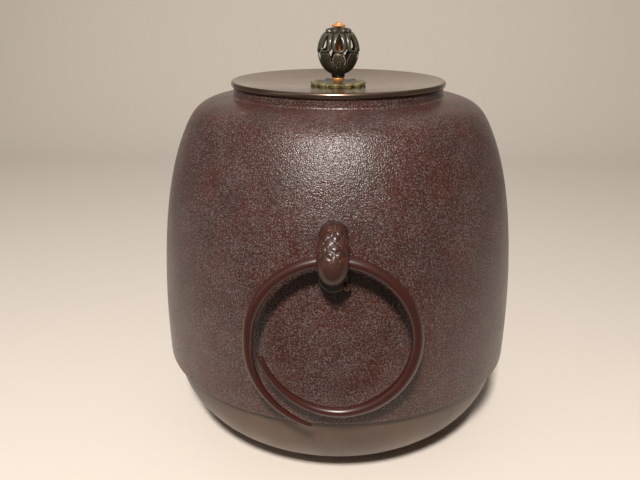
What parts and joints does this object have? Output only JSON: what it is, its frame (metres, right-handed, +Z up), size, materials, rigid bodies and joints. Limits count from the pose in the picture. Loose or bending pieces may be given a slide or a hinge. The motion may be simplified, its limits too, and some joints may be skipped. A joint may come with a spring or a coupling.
{
  "type": "tea kettle",
  "caption": "Wide-hipped cast-iron tea kettle with an inset base, pine-cone lugs with hanging spiral rings, and a dished bronze lid with an openwork bud knob, for heating water.",
  "frame": {"origin": "centre of the flat foot, on the surface that the kettle stands on", "axes": "+Z up, front lug towards -Y, ring pivots along X"},
  "size_m": [0.2284, 0.2658, 0.26],
  "materials": {
    "cast_iron_wall": "gritty cast skin, baked lacquer, red-brown patina",
    "cast_iron_base": "smoother cast skin, grey-brown",
    "lacquer_seam": "lacquer and iron-powder putty",
    "lug_iron": "rubbed, low gloss",
    "ring_iron": "forged, smooth, low gloss",
    "plate_iron": "rough",
    "bronze_lid": "dark olive patina, semi-polished",
    "bronze_flower": "olive-gold patina",
    "bronze_knob": "dark olive patina, rubbed edges",
    "copper": "bare copper"
  },
  "bodies": {
    "kettle": {"body_shell": "cast_iron_wall", "base_bowl": "cast_iron_base", "seam_lacquer": "lacquer_seam", "front_lug": "lug_iron", "rear_lug": "lug_iron", "sounding_plate_1": "plate_iron", "sounding_plate_2": "plate_iron", "sounding_plate_3": "plate_iron", "sounding_plate_4": "plate_iron", "sounding_plate_5": "plate_iron"},
    "front_ring": {"front_ring": "ring_iron"},
    "rear_ring": {"rear_ring": "ring_iron"},
    "lid": {"lid_plate": "bronze_lid", "knob_seat": "bronze_flower", "knob_collar": "copper", "knob_pin": "copper", "top_rove": "copper", "under_rove": "copper"},
    "knob": {"knob_cup": "bronze_knob", "knob_crown": "bronze_knob", "knob_ruff": "bronze_knob"}
  },
  "joints": [
    {"name": "lid_lift", "type": "slide", "parent": "kettle", "child": "lid", "axis": [0, 0, 1], "range_m": [0, 0.12]},
    {"name": "knob_turn", "type": "hinge", "parent": "lid", "child": "knob", "pos_m": [0, 0, 0.24], "axis": [0, 0, 1], "continuous": true},
    {"name": "front_ring_swing", "type": "hinge", "parent": "kettle", "child": "front_ring", "pos_m": [0, -0.12151, 0.1528], "axis": [-1, 0, 0], "range_deg": [-2.5, 212]},
    {"name": "rear_ring_swing", "type": "hinge", "parent": "kettle", "child": "rear_ring", "pos_m": [0, 0.12151, 0.1528], "axis": [1, 0, 0], "range_deg": [-2.5, 212]}
  ]
}
